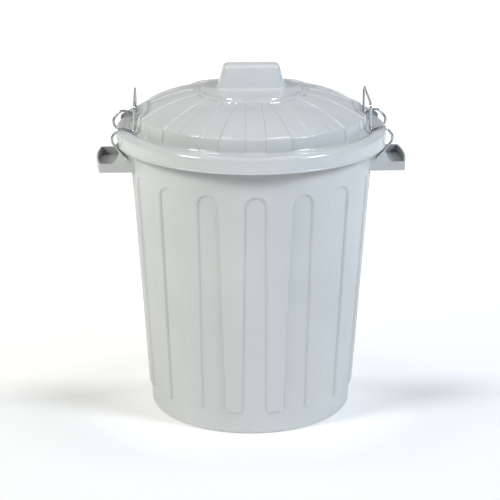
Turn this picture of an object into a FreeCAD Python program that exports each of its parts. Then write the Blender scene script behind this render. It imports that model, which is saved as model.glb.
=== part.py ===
import FreeCAD, Part
import math
import os
import Sketcher

# A round, tapered, fluted bin with a domed lid, two tray handles and two bent-wire clips.
# Millimetres, +Z up, origin at the middle of the base. The handles and clips are at -X and +X.

doc = FreeCAD.newDocument("lidded_bin")
sheet = doc.addObject("Spreadsheet::Sheet", "Sizes")

driving_sizes = [
    ("base_radius", 166.1, "raised wall carried down to the floor, outside"),
    ("neck_radius", 198.0, "raised wall at the rim's top, outside"),
    ("bin_height", 469.0, "rim's top above the floor"),
    ("bin_wall", 2.1, "bin wall, in the flutes and in the hollow ribs"),
    ("floor_thickness", 3.0, "bin floor"),
    ("foot_round", 8.5, "rounding of the bottom edge"),
    ("band_height", 37.0, "plain band below the ribs"),
    ("flute_count", 16, "flutes round the bin and round the lid"),
    ("flute_width", 37.0, "bin flute, from rib to rib"),
    ("flute_depth", 3.4, "how far the ribs stand proud of the flutes"),
    ("arch_drop", 64.5, "rim's top to the tops of the flutes' arches"),
    ("rim_overhang", 18.8, "rim beyond the neck"),
    ("rim_lip", 17.0, "height of the rim's turned-down lip"),
    ("skirt_clearance", 0.8, "lid's skirt round the rim, on the radius"),
    ("skirt_height", 22.2, "lid's skirt, from its edge to the lid's flat"),
    ("roll_rise", 4.6, "roll along the lid's edge, above the lid's flat"),
    ("roll_width", 15.5, "roll's top, in from the skirt"),
    ("roll_side", 3.6, "width of the roll's sloping inner side"),
    ("roll_round", 8.0, "rounding of the roll above the skirt"),
    ("roll_inner_round", 2.5, "rounding of the roll's inner edge"),
    ("rim_round", 4.4, "rounding of the rim's outer edge, and of the lid over it"),
    ("lid_wall", 2.1, "lid wall in the flutes"),
    ("seat_gap", 0.3, "lid's flat above the bin's rim"),
    ("mouth_clearance", 0.6, "lid's gutter inside the bin's mouth, on the radius"),
    ("gutter_depth", 1.5, "gutter below the lid's flat"),
    ("gutter_side", 4.6, "width of the gutter's sloping side"),
    ("gutter_floor", 6.1, "width of the gutter's floor"),
    ("shoulder_rise", 25.1, "dome's shoulder above the gutter"),
    ("dome_draft", 2.5, "how far the dome's side leans in"),
    ("dome_rise", 34.0, "dome, from its shoulder to the disc's edge"),
    ("dome_crown", 6.3, "how far the dome bulges above a straight cone"),
    ("disc_radius", 79.0, "raised disc in the middle of the lid"),
    ("disc_step", 3.0, "disc above the dome"),
    ("disc_round", 2.5, "rounding of the disc's edge"),
    ("lid_rib_depth", 1.6, "how far the lid's ribs stand proud of its flutes"),
    ("lid_flute_gap", 9.0, "disc to the inner ends of the lid's flutes"),
    ("lid_flute_inner_width", 24.0, "lid flute at its inner end"),
    ("lid_flute_outer_width", 32.5, "lid flute at the dome's foot"),
    ("knob_base_length", 109.0, "knob at the disc, side to side"),
    ("knob_base_width", 32.0, "knob at the disc, front to back"),
    ("knob_top_length", 89.0, "knob at its top, side to side"),
    ("knob_top_width", 28.0, "knob at its top, front to back"),
    ("knob_height", 39.4, "knob above the disc"),
    ("knob_round", 6.0, "rounding of the knob's edges"),
    ("notch_clearance", 2.8, "lid's notch beside the clip's arms"),
    ("notch_setback", 16.8, "lid's edge in the notch, inside the rim's outer edge"),
    ("recess_width", 74.0, "finger recess in the dome's shoulder"),
    ("recess_depth", 18.0, "finger recess's inner end inside the shoulder"),
    ("recess_round", 14.0, "rounding of the finger recess's corners"),
    ("tray_reach", 32.2, "tray handle beyond the rim"),
    ("tray_width", 107.0, "tray handle, over its end webs"),
    ("tray_drop", 63.0, "rim's top to the tray's underside"),
    ("tray_height", 15.5, "tray's outer wall"),
    ("tray_wall", 2.6, "tray's walls and floor"),
    ("web_shelf_out", 5.2, "where the end web starts to rise, beyond the rim"),
    ("web_knee_in", 1.2, "end web's knee inside the rim's outer edge"),
    ("web_knee_rise", 7.5, "end web's knee above the tray's wall"),
    ("web_neck_in", 5.8, "end web under the rim, inside the rim's outer edge"),
    ("web_neck_rise", 20.5, "end web's neck above the tray's wall"),
    ("web_gap", 0.6, "end web below the rim's lip"),
    ("web_clearance", 5.5, "end web inside the rim's lip"),
    ("wire_diameter", 4.4, "clip wire"),
    ("arm_gap", 1.3, "clip's arm beside the end web"),
    ("wire_end", 10.0, "wire's bent-in end, from its arm's centre line"),
    ("pivot_setback", 17.5, "clip's pivot inside the rim's outer edge"),
    ("pivot_drop", 39.0, "rim's top to the clip's pivot"),
    ("pivot_clearance", 0.05, "pivot hole round the wire, on the radius"),
    ("elbow_out", 9.2, "wire's outermost bend beyond the rim"),
    ("elbow_drop", 7.0, "rim's top to the wire's outermost bend"),
    ("crest_in", 7.3, "wire's bend over the rim, inside the rim's outer edge"),
    ("crest_rise", 11.1, "wire's bend over the rim, above the lid's flat"),
    ("heel_in", 30.4, "wire's bend on the lid, inside the rim's outer edge"),
    ("heel_gap", 0.2, "corner of the wire's bend on the lid, above the lid's flat"),
    ("leg_height", 45.0, "clip's upright leg, from the heel to the grip bar"),
    ("arm_bend_inside", 9.8, "inside radius of the arms' bends"),
    ("heel_bend_inside", 2.4, "inside radius of the bends at the heel"),
    ("grip_bend_inside", 5.5, "inside radius of the bends at the grip bar"),
    ("end_bend_inside", 0.8, "inside radius of the bends at the wire's ends"),
]

# Places and sizes that follow from the driving ones.
derived_sizes = [
    ("rim_radius", "neck_radius + rim_overhang"),
    ("lip_inside", "rim_radius - bin_wall"),
    ("lip_edge", "bin_height - rim_lip"),
    ("under_rim", "bin_height - bin_wall"),
    ("mouth_radius", "neck_radius - bin_wall"),
    ("wall_slope", "(neck_radius - base_radius) / bin_height"),
    ("wall_inset", "flute_depth + bin_wall"),
    ("rib_root", "flute_depth + bin_wall / 2"),
    ("flute_radius", "flute_width / 2"),
    ("arch_centre", "bin_height - arch_drop - flute_radius"),
    ("lid_seat", "bin_height + seat_gap"),
    ("lid_flat", "lid_seat + lid_wall"),
    ("lid_edge", "lid_flat - skirt_height"),
    ("skirt_inside", "rim_radius + skirt_clearance"),
    ("skirt_radius", "skirt_inside + lid_wall"),
    ("roll_top", "lid_flat + roll_rise"),
    ("roll_start", "skirt_radius - roll_width"),
    ("roll_foot", "roll_start - roll_side"),
    ("plug_radius", "mouth_radius - mouth_clearance"),
    ("roll_inner", "plug_radius + lid_wall"),
    ("gutter_outer", "roll_inner - gutter_side"),
    ("gutter_top", "lid_flat - gutter_depth"),
    ("dome_foot", "gutter_outer - gutter_floor"),
    ("shoulder_radius", "dome_foot - dome_draft"),
    ("shoulder_height", "gutter_top + shoulder_rise"),
    ("dome_edge", "shoulder_height + dome_rise"),
    ("disc_top", "dome_edge + disc_step"),
    ("lid_thickness", "lid_rib_depth + lid_wall"),
    ("lid_rib_root", "lid_rib_depth + lid_wall / 2"),
    ("lid_flute_inner", "disc_radius + lid_flute_gap"),
    ("recess_inner", "shoulder_radius - recess_depth"),
    ("tray_floor", "bin_height - tray_drop"),
    ("tray_top", "tray_floor + tray_height"),
    ("tray_radius", "rim_radius + tray_reach"),
    ("web_inside_lip", "sqrt(lip_inside ^ 2 - (tray_width / 2) ^ 2) - web_clearance"),
    ("web_neck", "rim_radius - web_neck_in"),
    ("wire_radius", "wire_diameter / 2"),
    ("wire_spread", "tray_width + wire_diameter + arm_gap * 2"),
    ("notch_width", "wire_spread + wire_diameter + notch_clearance * 2"),
    ("notch_radius", "rim_radius - notch_setback"),
    ("pivot_radius", "rim_radius - pivot_setback"),
    ("pivot_height", "bin_height - pivot_drop"),
    ("heel_radius", "rim_radius - heel_in"),
    ("heel_height", "lid_flat + heel_gap + wire_radius"),
]
rows = [(alias, str(value), note) for alias, value, note in driving_sizes]
rows += [(alias, "=" + formula, "follows") for alias, formula in derived_sizes]
for row, (alias, content, note) in enumerate(rows, 1):
    sheet.set(f"A{row}", note)
    sheet.set(f"B{row}", content)
    sheet.setAlias(f"B{row}", alias)
doc.recompute()


def size(alias):
    return float(sheet.get(alias))


def plain_size(alias):
    return size(alias) if alias != "0" else 0.0


def cell(text):
    # Turns a formula in plain alias words into one that reads the sheet.
    return " ".join("Sizes." + word if word[0].isalpha() else word for word in text.split())


def bind(thing, **formulas):
    for name, text in formulas.items():
        thing.setExpression(name.replace("__", "."), cell(text))
    return thing


def origin_part(body, role):
    for feature in body.Origin.OriginFeatures:
        if feature.Role == role:
            return feature


def outline(body, name, role, corners):
    # A closed outline of straight lines whose corners are formulas of the sheet.
    sketch = body.newObject("Sketcher::SketchObject", name)
    sketch.AttachmentSupport = [(origin_part(body, role), "")]
    sketch.MapMode = "FlatFace"
    count = len(corners)
    turn = 2 * math.pi / count
    spread = size("rim_radius")
    start = [FreeCAD.Vector(math.cos(turn * k), math.sin(turn * k), 0) * spread for k in range(count)]
    for k in range(count):
        sketch.addGeometry(Part.LineSegment(start[k], start[(k + 1) % count]), False)
    for k in range(count):
        sketch.addConstraint(Sketcher.Constraint("Coincident", k, 2, (k + 1) % count, 1))
    for k, (across, up) in enumerate(corners):
        for kind, axis_line, text, value in (
            ("DistanceX", -2, across, start[k].x),
            ("DistanceY", -1, up, start[k].y),
        ):
            if text == "0":
                sketch.addConstraint(Sketcher.Constraint("PointOnObject", k, 1, axis_line))
                continue
            index = sketch.addConstraint(Sketcher.Constraint(kind, -1, 1, k, 1, value))
            sketch.setExpression(f"Constraints[{index}]", cell(text))
    return sketch


def new_body(name):
    return doc.addObject("PartDesign::Body", name)


def revolve(body, name, corners):
    # A turned solid: the outline lies in the XZ plane and turns about Z.
    sketch = outline(body, name + "Outline", "XZ_Plane", corners)
    turned = body.newObject("PartDesign::Revolution", name)
    turned.Profile = sketch
    turned.ReferenceAxis = (sketch, ["V_Axis"])
    turned.Angle = 360
    doc.recompute()
    return turned


def circle_edges(shape, radius, height):
    names = []
    for number, edge in enumerate(shape.Edges, 1):
        if not isinstance(edge.Curve, Part.Circle):
            continue
        if abs(edge.Curve.Radius - radius) < 0.01 and abs(edge.Curve.Center.z - height) < 0.01:
            names.append(f"Edge{number}")
    return names


def round_edges(body, base, name, edges, radius):
    rounding = body.newObject("PartDesign::Fillet", name)
    rounding.Base = (base, edges)
    bind(rounding, Radius=radius)
    doc.recompute()
    return rounding


def block(name, length, width, height, low):
    # A box that is centred on the XZ plane; low is its lowest corner in X and Z.
    made = doc.addObject("Part::Box", name)
    bind(made, Length=length, Width=width, Height=height)
    bind(made, Placement__Base__x=low[0], Placement__Base__y=f"( {width} ) * -0.5", Placement__Base__z=low[1])
    return made


def drum(name, radius, height, low):
    made = doc.addObject("Part::Cylinder", name)
    return bind(made, Radius=radius, Height=height, Placement__Base__z=low)


def join(kind, name, base, tool):
    made = doc.addObject("Part::" + kind, name)
    made.Base = base
    made.Tool = tool
    return made


def fuse(name, shapes):
    made = doc.addObject("Part::MultiFuse", name)
    made.Shapes = shapes
    return made


def mirrored(name, source):
    made = doc.addObject("Part::Mirroring", name)
    made.Source = source
    made.Normal = (1, 0, 0)
    return made


def polar_cut(body, name, sketch, along_both):
    # Cuts the sketch through the body once for each flute.
    cut = body.newObject("PartDesign::Pocket", name)
    cut.Profile = sketch
    cut.Type = "ThroughAll"
    cut.Midplane = along_both
    cut.Reversed = not along_both
    doc.recompute()
    pattern = body.newObject("PartDesign::PolarPattern", name + "Ring")
    pattern.Originals = [cut]
    pattern.Axis = (origin_part(body, "Z_Axis"), [""])
    pattern.Angle = 360
    bind(pattern, Occurrences="flute_count")
    body.Tip = pattern
    doc.recompute()


# Bin: the turned shell at the flutes' level, with its rim, and the hollow ribs over it.
def wall_at(height, inset):
    return f"base_radius - {inset} + wall_slope * {height}"


def make_bin():
    shell_body = new_body("BinShell")
    shell = revolve(shell_body, "Shell", [
        ("0", "0"),
        ("base_radius - flute_depth", "0"),
        (wall_at("under_rim", "flute_depth"), "under_rim"),
        ("lip_inside", "under_rim"),
        ("lip_inside", "lip_edge"),
        ("rim_radius", "lip_edge"),
        ("rim_radius", "bin_height"),
        (wall_at("bin_height", "wall_inset"), "bin_height"),
        (wall_at("floor_thickness", "wall_inset"), "floor_thickness"),
        ("0", "floor_thickness"),
    ])
    foot = circle_edges(shell.Shape, size("base_radius") - size("flute_depth"), 0)
    footed = round_edges(shell_body, shell, "FootRound", foot, "foot_round")
    floor_edge = size("base_radius") - size("wall_inset") + size("wall_slope") * size("floor_thickness")
    inner_foot = circle_edges(footed.Shape, floor_edge, size("floor_thickness"))
    floored = round_edges(shell_body, footed, "InnerFootRound", inner_foot, "foot_round - bin_wall")
    rim = circle_edges(floored.Shape, size("rim_radius"), size("bin_height"))
    rimmed = round_edges(shell_body, floored, "RimRound", rim, "rim_round")
    lip = circle_edges(rimmed.Shape, size("lip_inside"), size("under_rim"))
    round_edges(shell_body, rimmed, "LipRound", lip, "rim_round - bin_wall")

    ribs = rib_ring("Ribs", ("band_height", "under_rim"), ("rib_root", "0"), "0")
    solid = fuse("BinSolid", [shell_body, ribs])
    core_ends = ("band_height + bin_wall", "bin_height + bin_wall")
    cores = rib_ring("RibCores", core_ends, ("wall_inset + bin_wall", "bin_wall"), "bin_wall")
    made = join("Cut", "BinBody", solid, cores)
    made.Label = "bin_body"
    return made


def rib_ring(name, ends, insets, grown):
    # A turned skin between two heights and two depths in the wall, cut by the flutes, grown or not.
    body = new_body(name)
    low, high = ends
    inner, outer = insets
    revolve(body, name + "Skin", [
        (wall_at(f"( {low} )", f"( {inner} )"), low),
        (wall_at(f"( {low} )", f"( {outer} )"), low),
        (wall_at(f"( {high} )", f"( {outer} )"), high),
        (wall_at(f"( {high} )", f"( {inner} )"), high),
    ])
    polar_cut(body, name + "FluteCut", arched_slot(body, name + "Flute", grown), False)
    return body


def arched_slot(body, name, grown):
    # One flute seen from the front: straight sides, open below, a half-round arch on top.
    sketch = body.newObject("Sketcher::SketchObject", name)
    sketch.AttachmentSupport = [(origin_part(body, "XZ_Plane"), "")]
    sketch.MapMode = "FlatFace"
    half = size("flute_radius") + plain_size(grown)
    top = size("arch_centre")
    low = size("band_height") - half
    corner = [FreeCAD.Vector(*xy, 0) for xy in ((-half, top), (-half, low), (half, low), (half, top))]
    for k in range(3):
        sketch.addGeometry(Part.LineSegment(corner[k], corner[k + 1]), False)
    arch = Part.Circle(FreeCAD.Vector(0, top, 0), FreeCAD.Vector(0, 0, 1), half)
    sketch.addGeometry(Part.ArcOfCircle(arch, 0, math.pi), False)
    for first, first_end, second, second_end in ((0, 2, 1, 1), (1, 2, 2, 1)):
        sketch.addConstraint(Sketcher.Constraint("Coincident", first, first_end, second, second_end))
    sketch.addConstraint(Sketcher.Constraint("Tangent", 2, 2, 3, 1))
    sketch.addConstraint(Sketcher.Constraint("Tangent", 3, 2, 0, 1))
    sketch.addConstraint(Sketcher.Constraint("Horizontal", 1))
    sketch.addConstraint(Sketcher.Constraint("Vertical", 2))
    sketch.addConstraint(Sketcher.Constraint("PointOnObject", 3, 3, -2))
    for kind, place, text in (
        ("Radius", (3, half), f"flute_radius + {grown}"),
        ("DistanceY", (-1, 1, 3, 3, top), "arch_centre"),
        ("DistanceY", (-1, 1, 1, 1, low), "band_height - flute_radius"),
    ):
        index = sketch.addConstraint(Sketcher.Constraint(kind, *place))
        sketch.setExpression(f"Constraints[{index}]", cell(text))
    return sketch


# Lid: the turned shell at the flutes' level, its ribs, the knob, and the cuts for clips and fingers.
def dome_points(outer, inner):
    # Points between the dome's outer and inner ends, raised over a straight cone to its crown.
    points = []
    for share in (0.25, 0.5, 0.75):
        rest = 1 - share
        across, up = [f"( {far} ) * {rest} + ( {near} ) * {share}" for far, near in zip(outer, inner)]
        points.append((across, f"{up} + dome_crown * {4 * share * rest}"))
    return [outer, *points, inner]


def make_lid():
    solid_body = new_body("LidSolid")
    solid = revolve(solid_body, "LidOutside", [
        ("0", "lid_edge"),
        ("skirt_radius", "lid_edge"),
        ("skirt_radius", "roll_top"),
        ("roll_start", "roll_top"),
        ("roll_foot", "lid_flat"),
        ("roll_inner", "lid_flat"),
        ("gutter_outer", "gutter_top"),
        ("dome_foot - lid_rib_depth", "gutter_top"),
        *dome_points(("shoulder_radius - lid_rib_depth", "shoulder_height - lid_rib_depth"),
                     ("disc_radius", "dome_edge - lid_rib_depth")),
        ("disc_radius", "disc_top"),
        ("0", "disc_top"),
    ])
    roll = circle_edges(solid.Shape, size("skirt_radius"), size("roll_top"))
    rolled = round_edges(solid_body, solid, "RollRound", roll, "roll_round")
    crest = circle_edges(rolled.Shape, size("roll_start"), size("roll_top"))
    rolled = round_edges(solid_body, rolled, "RollInnerRound", crest, "roll_inner_round")
    disc = circle_edges(rolled.Shape, size("disc_radius"), size("disc_top"))
    round_edges(solid_body, rolled, "DiscRound", disc, "disc_round")

    hollow_body = new_body("LidHollow")
    hollow = revolve(hollow_body, "LidInside", [
        ("0", "lid_edge - lid_wall"),
        ("skirt_inside", "lid_edge - lid_wall"),
        ("skirt_inside", "lid_seat"),
        ("plug_radius", "lid_seat"),
        ("gutter_outer + lid_wall * 0.2", "gutter_top - lid_wall"),
        ("dome_foot - lid_thickness", "gutter_top - lid_wall"),
        *dome_points(("shoulder_radius - lid_thickness", "shoulder_height - lid_thickness"),
                     ("disc_radius - lid_wall", "dome_edge - lid_thickness")),
        ("disc_radius - lid_wall", "disc_top - lid_wall"),
        ("0", "disc_top - lid_wall"),
    ])
    inner_roll = circle_edges(hollow.Shape, size("skirt_inside"), size("lid_seat"))
    round_edges(hollow_body, hollow, "InnerRollRound", inner_roll, "rim_round")
    shell = join("Cut", "LidShell", solid_body, hollow_body)

    rib_body = new_body("LidRibs")
    rib_inner = "disc_radius - lid_wall * 0.5"
    revolve(rib_body, "LidSkin", [
        ("dome_foot - lid_rib_root", "gutter_top"),
        *dome_points(("shoulder_radius - lid_rib_root", "shoulder_height - lid_rib_root"),
                     (rib_inner, "dome_edge - lid_rib_root")),
        (rib_inner, "dome_edge"),
        *reversed(dome_points(("shoulder_radius", "shoulder_height"), ("disc_radius", "dome_edge"))),
        ("dome_foot", "gutter_top"),
    ])
    flute_outer = "dome_foot * -1 - lid_wall"
    flute = outline(rib_body, "LidFlute", "XY_Plane", [
        ("lid_flute_inner_width * -0.5", "lid_flute_inner * -1"),
        ("lid_flute_outer_width * -0.5", flute_outer),
        ("lid_flute_outer_width * 0.5", flute_outer),
        ("lid_flute_inner_width * 0.5", "lid_flute_inner * -1"),
    ])
    polar_cut(rib_body, "LidFluteCut", flute, True)

    # Finger recesses: a pocket at each side of the dome, with walls of its own inside.
    recess = finger_block("Recess", "0", "dome_foot + lid_wall")
    pocket = finger_block("Pocket", "lid_wall", "shoulder_radius - lid_rib_depth")
    pocket_pair = fuse("PocketBlocks", [pocket, mirrored("PocketLeft", pocket)])
    pockets = join("Common", "PocketWalls", solid_body, pocket_pair)

    knob_top = "disc_top + knob_height"
    knob = knob_block("Knob", "0", "disc_top - lid_wall * 0.5", knob_top, "knob_round")
    knob_hollow = knob_block("KnobHollow", "lid_wall", "disc_top - lid_wall * 2",
                             f"{knob_top} - lid_wall", "knob_round - lid_wall")
    full = fuse("LidFull", [shell, rib_body, pockets, knob])

    notch_low = "lid_edge - lid_wall"
    notch_blank = block("NotchBlank", "skirt_radius * 3", "notch_width", "skirt_height + roll_rise + lid_wall * 2",
                        ("skirt_radius * -1.5", notch_low))
    notch_core = drum("NotchCore", "notch_radius", "skirt_height + roll_rise + lid_wall * 2", notch_low)
    notch = join("Cut", "Notch", notch_blank, notch_core)
    cuts = fuse("LidCuts", [recess, mirrored("RecessLeft", recess), knob_hollow, notch])
    made = join("Cut", "Lid", full, cuts)
    made.Label = "lid"
    return made


def finger_block(name, grown, outer):
    # The space of one finger recess, grown by a wall or not: open outwards, its inner corners rounded.
    inner = f"recess_inner - {grown}"
    low = f"gutter_top - {grown}"
    blank = block(name + "Blank", f"{outer} - ( {inner} )", f"recess_width + {grown} * 2",
                  f"disc_top - ( {low} )", (inner, low))
    doc.recompute()
    inner_place = blank.Placement.Base.x
    corners = []
    for number, edge in enumerate(blank.Shape.Edges, 1):
        box = edge.BoundBox
        if box.ZLength > box.XLength + box.YLength and abs(box.Center.x - inner_place) < 0.001:
            corners.append(number)
    radius = size("recess_round") + plain_size(grown)
    rounded = doc.addObject("Part::Fillet", name)
    rounded.Base = blank
    rounded.Edges = [(number, radius, radius) for number in corners]
    return rounded


def knob_block(name, inset, low, high, radius):
    # A block that narrows upwards, rounded all over above its base. The wedge's own Y is upright.
    body = new_body(name)
    wedge = body.newObject("PartDesign::AdditiveWedge", name + "Wedge")
    wedge.Placement = FreeCAD.Placement(FreeCAD.Vector(), FreeCAD.Rotation(FreeCAD.Vector(1, 0, 0), 90))
    bind(wedge, Ymin=low, Ymax=high)
    for side, sign in (("min", "-0.5"), ("max", "0.5")):
        grow = f"{inset} * {float(sign) * 2}"
        bind(wedge, **{
            "X" + side: f"knob_base_length * {sign} - {grow}",
            "Z" + side: f"knob_base_width * {sign} - {grow}",
            "X2" + side: f"knob_top_length * {sign} - {grow}",
            "Z2" + side: f"knob_top_width * {sign} - {grow}",
        })
    doc.recompute()
    lowest = wedge.Shape.BoundBox.ZMin
    edges = [f"Edge{n}" for n, edge in enumerate(wedge.Shape.Edges, 1) if edge.BoundBox.ZMax > lowest + 1]
    round_edges(body, wedge, name + "Round", edges, radius)
    return body


# Tray handles: a floor and outer wall bent round the bin, closed by an end web at each side.
def make_handles():
    tray = join("Common", "TrayBlank",
                drum("TrayRound", "tray_radius", "tray_height", "tray_floor"),
                block("TrayBlock", "tray_radius", "tray_width", "tray_height", ("0", "tray_floor")))
    hollow = join("Common", "TrayHollow",
                  drum("TrayHollowRound", "tray_radius - tray_wall", "bin_height", "tray_floor + tray_wall"),
                  block("TrayHollowBlock", "tray_radius", "tray_width - tray_wall * 2", "bin_height",
                        ("0", "tray_floor + tray_wall")))
    web_body = new_body("TrayEnds")
    web = outline(web_body, "EndWeb", "XZ_Plane", [
        ("base_radius", "tray_floor"),
        ("tray_radius", "tray_floor"),
        ("tray_radius", "tray_top"),
        ("rim_radius + web_shelf_out", "tray_top"),
        ("rim_radius - web_knee_in", "tray_top + web_knee_rise"),
        ("web_neck", "tray_top + web_neck_rise"),
        ("web_neck", "lip_edge - web_gap"),
        ("web_inside_lip", "lip_edge - web_gap"),
        ("web_inside_lip", "under_rim"),
        ("base_radius", "under_rim"),
    ])
    pad = web_body.newObject("PartDesign::Pad", "EndWebPad")
    pad.Profile = web
    pad.Midplane = True
    bind(pad, Length="tray_width")
    doc.recompute()
    ends = join("Common", "TrayEndsRound", web_body,
                drum("EndsRound", "tray_radius", "bin_height", "tray_floor"))
    full = fuse("TrayFull", [tray, ends])
    bin_cone = doc.addObject("Part::Cone", "BinOutside")
    bind(bin_cone, Radius1="base_radius", Radius2="neck_radius", Height="bin_height")
    pivot = doc.addObject("Part::Cylinder", "PivotHoles")
    bind(pivot, Radius="wire_radius + pivot_clearance", Height="tray_width * 2")
    bind(pivot, Placement__Base__x="pivot_radius", Placement__Base__y="tray_width",
         Placement__Base__z="pivot_height")
    pivot.Placement.Rotation = FreeCAD.Rotation(FreeCAD.Vector(1, 0, 0), 90)
    right = join("Cut", "HandleRight", full, fuse("TrayCuts", [hollow, bin_cone, pivot]))
    right.Label = "handle_right"
    left = mirrored("HandleLeft", right)
    left.Label = "handle_left"
    return left, right


# Clips: one round wire each, bent in the air between straight runs.
def bent_wire(points, bends, diameter):
    edges = []
    last = points[0]
    for before, corner, after, radius in zip(points, points[1:], points[2:], bends):
        back = (before - corner).normalize()
        onward = (after - corner).normalize()
        half_turn = (math.pi - back.getAngle(onward)) / 2
        reach = radius * math.tan(half_turn)
        start = corner + back * reach
        end = corner + onward * reach
        middle_way = (back + onward).normalize()
        middle = corner + middle_way * (radius / math.cos(half_turn) - radius)
        edges.append(Part.LineSegment(last, start).toShape())
        edges.append(Part.Arc(start, middle, end).toShape())
        last = end
    edges.append(Part.LineSegment(last, points[-1]).toShape())
    path = Part.Wire(edges)
    circle = Part.Circle(points[0], points[1] - points[0], diameter / 2)
    section = Part.Wire([circle.toShape()])
    solid = path.makePipeShell([section], True, True)
    ideal = path.Length * math.pi * diameter ** 2 / 4
    print(f"clip wire: length {path.Length:.1f} mm, volume share {solid.Volume / ideal:.5f}")
    return solid


def make_clips():
    rim = size("rim_radius")
    pivot = (size("pivot_radius"), size("pivot_height"))
    heel = (size("heel_radius"), size("heel_height"))
    arm = [
        pivot,
        (rim + size("elbow_out"), size("bin_height") - size("elbow_drop")),
        (rim - size("crest_in"), size("lid_flat") + size("crest_rise")),
        heel,
        (heel[0], heel[1] + size("leg_height")),
    ]
    half = size("wire_spread") / 2
    inner_end = half - size("wire_end")
    near = [FreeCAD.Vector(x, -half, z) for x, z in arm]
    far = [FreeCAD.Vector(x, half, z) for x, z in reversed(arm)]
    first = FreeCAD.Vector(pivot[0], -inner_end, pivot[1])
    last = FreeCAD.Vector(pivot[0], inner_end, pivot[1])
    turns = ("end", "arm", "arm", "heel", "grip")
    bends = [size("wire_radius") + size(kind + "_bend_inside") for kind in turns + turns[::-1]]
    right = doc.addObject("Part::Feature", "ClipRight")
    right.Shape = bent_wire([first, *near, *far, last], bends, size("wire_diameter"))
    right.Placement = FreeCAD.Placement()
    right.Label = "clip_right"
    left = doc.addObject("Part::Feature", "ClipLeft")
    left.Shape = right.Shape.copy()
    left.Placement = FreeCAD.Placement(FreeCAD.Vector(), FreeCAD.Rotation(FreeCAD.Vector(0, 0, 1), 180))
    left.Label = "clip_left"
    return left, right


pieces = [make_bin(), make_lid(), *make_handles(), *make_clips()]
doc.recompute()

for thing in doc.Objects:
    if "Invalid" in thing.State or "Error" in thing.State:
        raise RuntimeError(f"{thing.Name} failed: {thing.State}")
for piece in pieces:
    if piece.Shape.isNull() or not piece.Shape.isValid():
        raise RuntimeError(f"{piece.Label} has no valid shape")

os.makedirs("parts", exist_ok=True)
for piece in pieces:
    box = piece.Shape.BoundBox
    print(f"{piece.Label}: {len(piece.Shape.Solids)} solid, {piece.Shape.Volume / 1000:.1f} cm3, "
          f"x {box.XMin:.1f} to {box.XMax:.1f}, y {box.YMin:.1f} to {box.YMax:.1f}, "
          f"z {box.ZMin:.1f} to {box.ZMax:.1f}")
    piece.Shape.exportStep(f"parts/{piece.Label}.step")
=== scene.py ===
import math

import bmesh
import bpy
import numpy as np
from mathutils import Matrix, Vector


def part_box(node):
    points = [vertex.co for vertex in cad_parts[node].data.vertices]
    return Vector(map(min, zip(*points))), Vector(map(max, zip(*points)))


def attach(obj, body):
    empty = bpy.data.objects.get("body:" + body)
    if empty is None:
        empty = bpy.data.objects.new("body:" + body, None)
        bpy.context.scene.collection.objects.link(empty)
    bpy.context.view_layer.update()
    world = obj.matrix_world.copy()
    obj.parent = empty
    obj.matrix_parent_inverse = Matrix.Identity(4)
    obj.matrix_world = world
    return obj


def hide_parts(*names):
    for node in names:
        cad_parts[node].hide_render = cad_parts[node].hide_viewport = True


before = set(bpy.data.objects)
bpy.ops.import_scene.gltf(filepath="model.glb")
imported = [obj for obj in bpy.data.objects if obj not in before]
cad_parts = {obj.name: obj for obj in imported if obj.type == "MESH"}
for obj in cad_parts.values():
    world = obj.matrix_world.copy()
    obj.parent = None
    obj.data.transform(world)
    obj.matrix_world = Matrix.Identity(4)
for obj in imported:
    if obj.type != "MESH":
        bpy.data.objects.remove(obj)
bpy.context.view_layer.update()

mm = 0.001
tiny = 1e-6              # metres, points closer than this are one point
sharpEdge = 38.0         # degrees, edges steeper than this stay crisp
bothSides = ((1, "right"), (-1, "left"))
print("frame loaded:", ", ".join(sorted(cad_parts)))


# helpers for outlines and skins, all in millimetres

pathRules = {
    "straight": 89.5,      # half angle in degrees from which a corner is left as it is
    "mostOfSide": 0.49,    # share of a side that one corner's arc may take
}


def arcPoint(start, end, turn, share):
    # on the arc between two spokes of one length, the given turn apart
    return (start * math.sin((1 - share) * turn) + end * math.sin(share * turn)) / math.sin(turn)


def roundedPath(corners, turnStep=9.0):
    # corners are (a, b, radius); each corner with a radius becomes an arc
    made = []
    most = pathRules["mostOfSide"]
    for i, (a, b, radius) in enumerate(corners):
        here = np.array((a, b), float)
        if radius <= 0 or i in (0, len(corners) - 1):
            made.append(here)
            continue
        back = np.array(corners[i - 1][:2], float) - here
        ahead = np.array(corners[i + 1][:2], float) - here
        lenBack, lenAhead = np.linalg.norm(back), np.linalg.norm(ahead)
        back, ahead = back / lenBack, ahead / lenAhead
        half = math.acos(max(-1.0, min(1.0, float(back @ ahead)))) / 2
        if half > math.radians(pathRules["straight"]):
            made.append(here)
            continue
        cut = min(radius / math.tan(half), most * lenBack, most * lenAhead)
        bend = cut * math.tan(half)
        middle = here + (back + ahead) / np.linalg.norm(back + ahead) * bend / math.sin(half)
        start, end = here + back * cut - middle, here + ahead * cut - middle
        turn = math.pi - 2 * half
        steps = max(2, int(math.ceil(math.degrees(turn) / turnStep)))
        made += [middle + arcPoint(start, end, turn, k / steps) for k in range(steps + 1)]
    return np.array(made)


def spread(path, longest):
    # splits the long runs of a path so that no step is over the given length
    made = [path[0]]
    for a, b in zip(path[:-1], path[1:]):
        parts = max(1, int(math.ceil(np.linalg.norm(b - a) / longest)))
        made += [a + (b - a) * (k + 1) / parts for k in range(parts)]
    return np.array(made)


def smoothStep(x):
    x = np.clip(x, 0.0, 1.0)
    return x * x * x * (x * (6 * x - 15) + 10)


def softMin(a, b, blend):
    f = np.clip(0.5 + 0.5 * (b - a) / blend, 0.0, 1.0)
    return b + (a - b) * f - blend * f * (1 - f)


def between(pair, share):
    return pair[0] + (pair[1] - pair[0]) * share


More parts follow.
